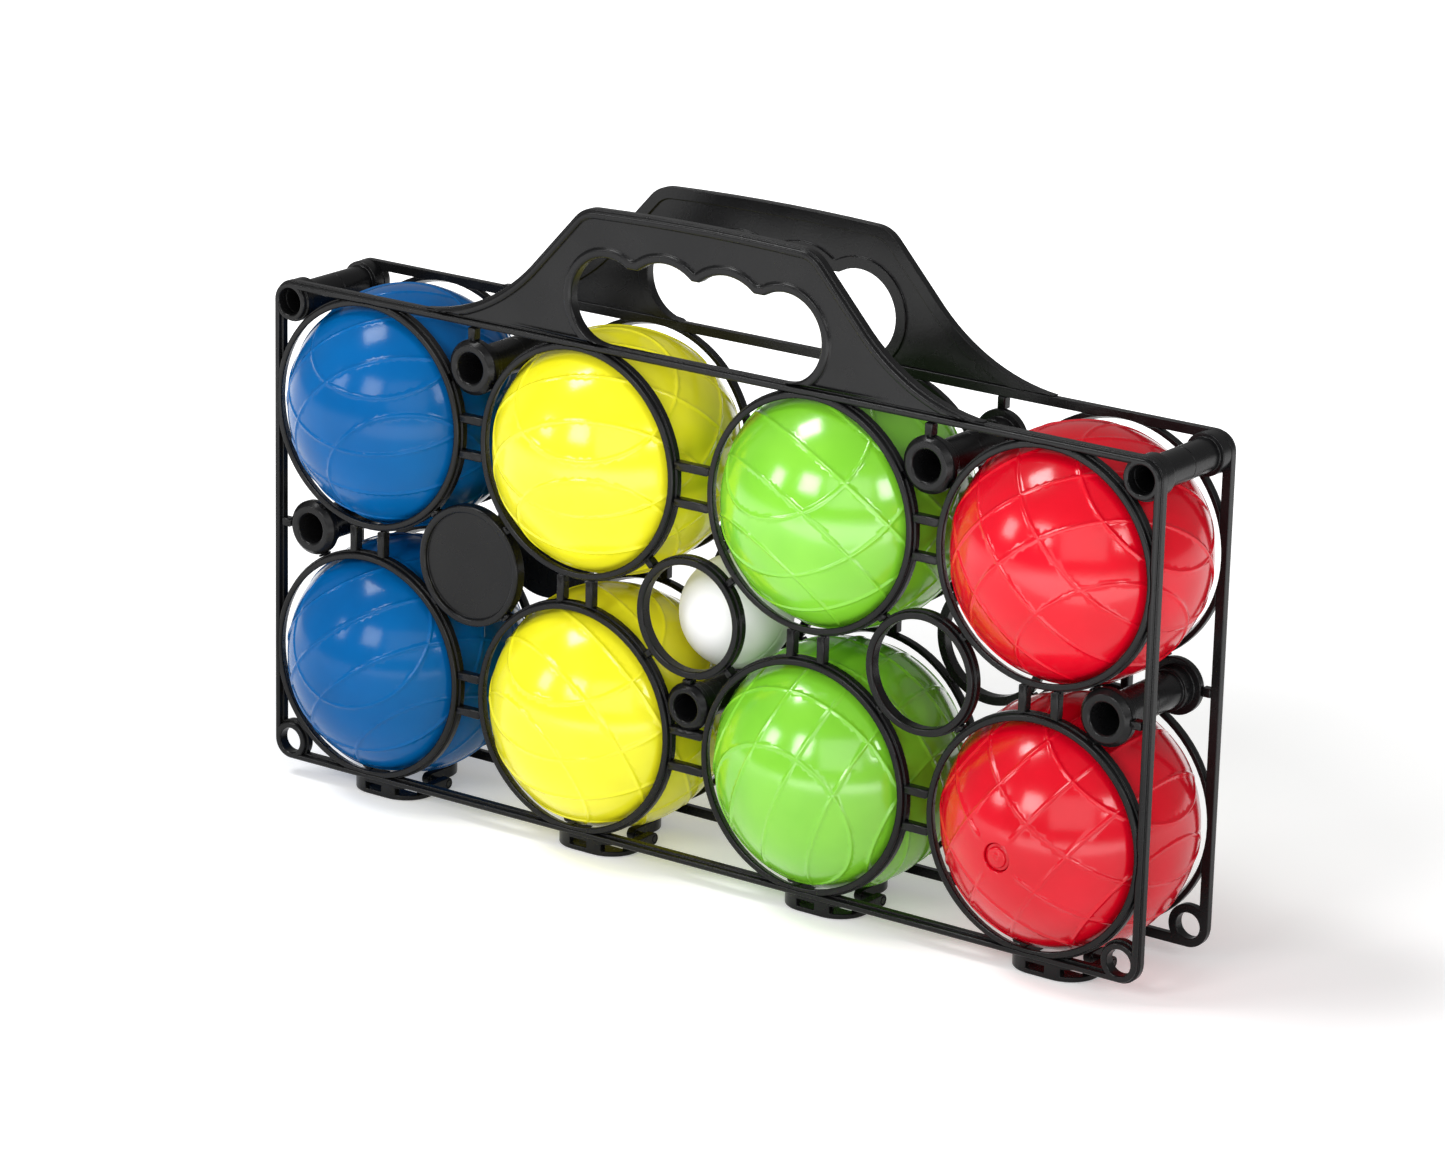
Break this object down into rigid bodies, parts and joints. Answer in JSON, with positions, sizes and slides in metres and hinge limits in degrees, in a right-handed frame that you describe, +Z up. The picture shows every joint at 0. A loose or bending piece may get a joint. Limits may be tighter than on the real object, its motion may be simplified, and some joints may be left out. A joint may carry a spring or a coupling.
{
  "type": "bocce ball set",
  "caption": "Lawn bowling set: coloured water-filled balls and a small white jack held in a black hinged two-grille carrier with a handle on top.",
  "frame": {"origin": "on the ground, under the middle of the closed carrier", "axes": "+X along the carrier, from the blue to the red balls; +Y from the front grille to the rear one; +Z up to the handle"},
  "size_m": [0.3044, 0.072, 0.1914],
  "materials": {
    "black_plastic": "satin",
    "blue_plastic": "gloss",
    "yellow_plastic": "gloss",
    "green_plastic": "gloss",
    "red_plastic": "gloss",
    "white_plastic": "satin",
    "water": "gloss"
  },
  "bodies": {
    "rear_half": {"rear_frame": "black_plastic", "rear_ball_rings": "black_plastic", "rear_small_rings": "black_plastic", "rear_blank_disc": "black_plastic", "rear_struts": "black_plastic", "rear_handle": "black_plastic", "rear_socket_tubes": "black_plastic", "rear_feet": "black_plastic"},
    "front_half": {"front_frame": "black_plastic", "front_ball_rings": "black_plastic", "front_small_rings": "black_plastic", "front_blank_disc": "black_plastic", "front_struts": "black_plastic", "front_handle": "black_plastic", "front_spigot_tubes": "black_plastic", "front_feet": "black_plastic"},
    "blue_top_ball": {"blue_top_ball_shell": "blue_plastic", "blue_top_filler_plug": "blue_plastic", "blue_top_water_fill": "water"},
    "blue_bottom_ball": {"blue_bottom_ball_shell": "blue_plastic", "blue_bottom_filler_plug": "blue_plastic", "blue_bottom_water_fill": "water"},
    "yellow_top_ball": {"yellow_top_ball_shell": "yellow_plastic", "yellow_top_filler_plug": "yellow_plastic", "yellow_top_water_fill": "water"},
    "yellow_bottom_ball": {"yellow_bottom_ball_shell": "yellow_plastic", "yellow_bottom_filler_plug": "yellow_plastic", "yellow_bottom_water_fill": "water"},
    "green_top_ball": {"green_top_ball_shell": "green_plastic", "green_top_filler_plug": "green_plastic", "green_top_water_fill": "water"},
    "green_bottom_ball": {"green_bottom_ball_shell": "green_plastic", "green_bottom_filler_plug": "green_plastic", "green_bottom_water_fill": "water"},
    "red_top_ball": {"red_top_ball_shell": "red_plastic", "red_top_filler_plug": "red_plastic", "red_top_water_fill": "water"},
    "red_bottom_ball": {"red_bottom_ball_shell": "red_plastic", "red_bottom_filler_plug": "red_plastic", "red_bottom_water_fill": "water"},
    "jack": {"jack": "white_plastic"}
  },
  "joints": [
    {"name": "case_hinge", "type": "hinge", "parent": "rear_half", "child": "front_half", "pos_m": [0, 0, 0.0018], "axis": [1, 0, 0], "range_deg": [0, 155]},
    {"name": "blue_top_ball_spin", "type": "hinge", "parent": "rear_half", "child": "blue_top_ball", "pos_m": [-0.1162, 0, 0.116], "axis": [0, 1, 0], "continuous": true},
    {"name": "blue_bottom_ball_spin", "type": "hinge", "parent": "rear_half", "child": "blue_bottom_ball", "pos_m": [-0.1162, 0, 0.0396], "axis": [0, 1, 0], "continuous": true},
    {"name": "yellow_top_ball_spin", "type": "hinge", "parent": "rear_half", "child": "yellow_top_ball", "pos_m": [-0.04, 0, 0.116], "axis": [0, 1, 0], "continuous": true},
    {"name": "yellow_bottom_ball_spin", "type": "hinge", "parent": "rear_half", "child": "yellow_bottom_ball", "pos_m": [-0.04, 0, 0.0396], "axis": [0, 1, 0], "continuous": true},
    {"name": "green_top_ball_spin", "type": "hinge", "parent": "rear_half", "child": "green_top_ball", "pos_m": [0.04, 0, 0.116], "axis": [0, 1, 0], "continuous": true},
    {"name": "green_bottom_ball_spin", "type": "hinge", "parent": "rear_half", "child": "green_bottom_ball", "pos_m": [0.04, 0, 0.0396], "axis": [0, 1, 0], "continuous": true},
    {"name": "red_top_ball_spin", "type": "hinge", "parent": "rear_half", "child": "red_top_ball", "pos_m": [0.1162, 0, 0.116], "axis": [0, 1, 0], "continuous": true},
    {"name": "red_bottom_ball_spin", "type": "hinge", "parent": "rear_half", "child": "red_bottom_ball", "pos_m": [0.1162, 0, 0.0396], "axis": [0, 1, 0], "continuous": true},
    {"name": "jack_spin", "type": "hinge", "parent": "rear_half", "child": "jack", "pos_m": [0, 0.0045, 0.075], "axis": [0, 1, 0], "continuous": true}
  ]
}
